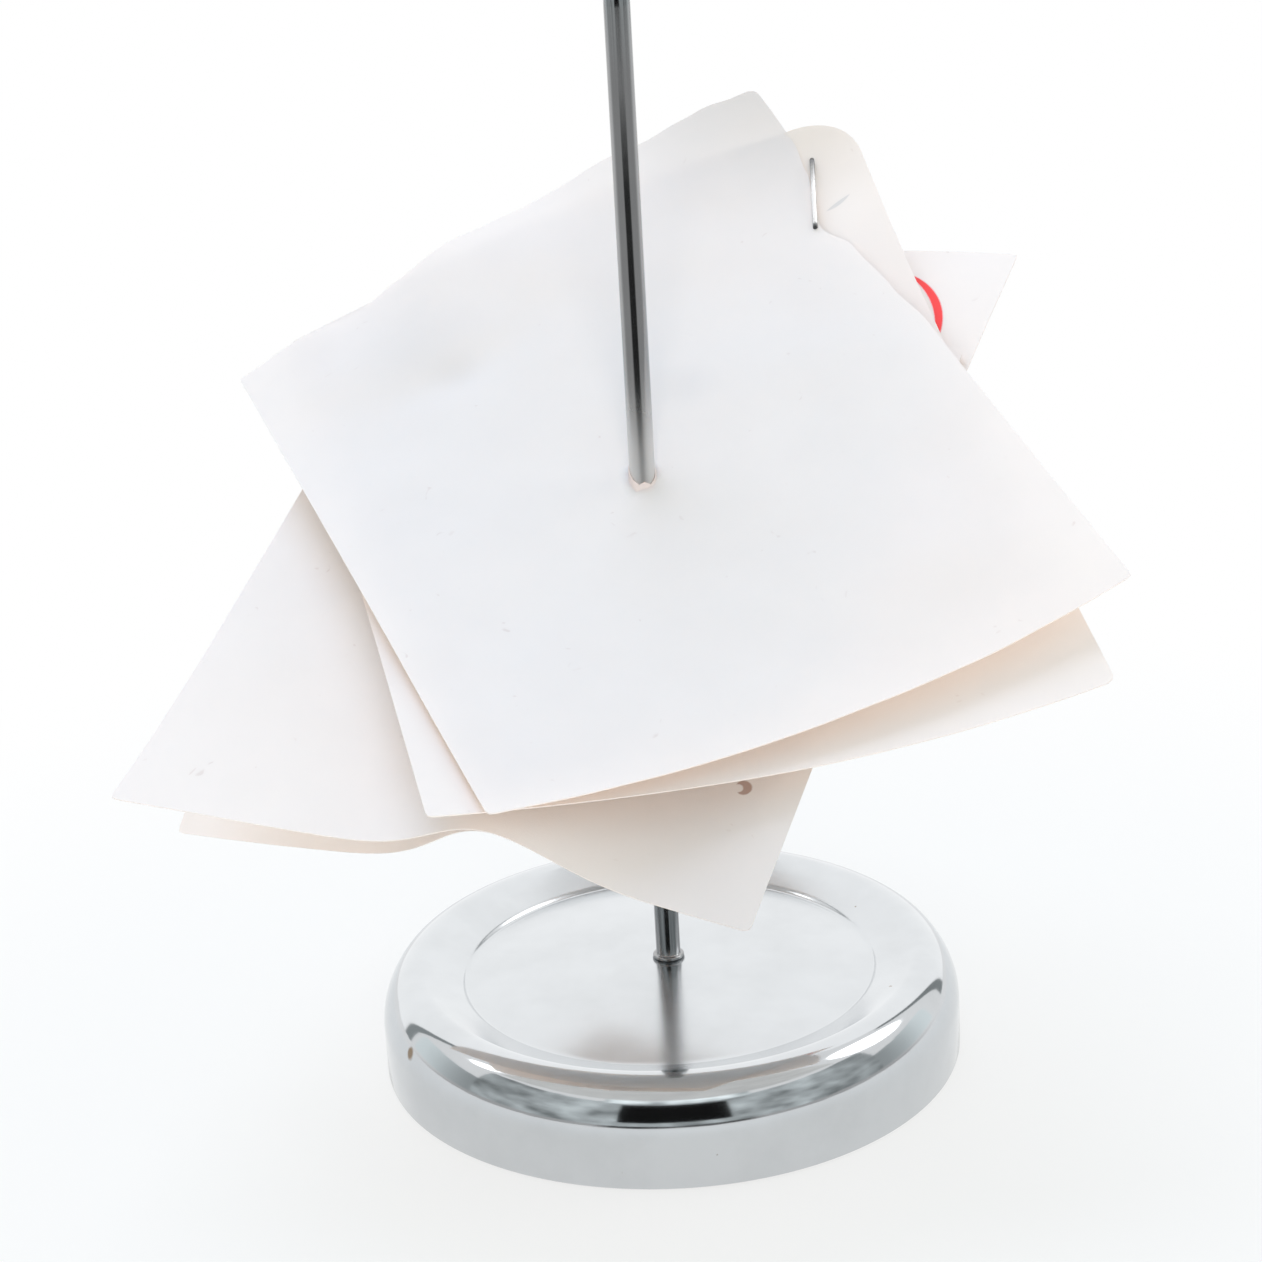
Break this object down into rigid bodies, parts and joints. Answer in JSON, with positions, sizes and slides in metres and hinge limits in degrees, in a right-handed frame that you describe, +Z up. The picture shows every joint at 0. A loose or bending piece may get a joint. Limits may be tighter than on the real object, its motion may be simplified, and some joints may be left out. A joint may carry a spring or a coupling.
{
  "type": "bill spike",
  "caption": "Desk bill spike: a pointed upright wire on a weighted round pressed base, holding loose and stapled paper bills that slide up and off over the point.",
  "frame": {"origin": "on the spike's axis at the underside of the foot pad", "axes": "+Z up along the spike; -Y faces the viewer of the picture; +X to the viewer's right"},
  "size_m": [0.1208, 0.1326, 0.152],
  "materials": {
    "chrome": "polished",
    "iron": "as cast",
    "plain_steel": "plain",
    "foam": "matte",
    "paper": "matte",
    "staple_wire": "bright"
  },
  "bodies": {
    "stand": {"base_shell": "chrome", "ballast_weight": "iron", "bottom_plate": "plain_steel", "foot_pad": "foam", "spike": "chrome", "washer": "plain_steel", "nut": "plain_steel"},
    "lowest_slip": {"lowest_bill": "paper"},
    "left_slip": {"left_bill": "paper"},
    "stapled_slips": {"under_bill": "paper", "top_bill": "paper", "staple": "staple_wire"}
  },
  "joints": [
    {"name": "lowest_bill_slide", "type": "slide", "parent": "stand", "child": "lowest_slip", "axis": [0, 0, 1], "range_m": [-0.03, 0.085]},
    {"name": "left_bill_slide", "type": "slide", "parent": "lowest_slip", "child": "left_slip", "axis": [0, 0, 1], "range_m": [0, 0.082]},
    {"name": "stapled_bills_slide", "type": "slide", "parent": "left_slip", "child": "stapled_slips", "axis": [0, 0, 1], "range_m": [0, 0.08]}
  ]
}
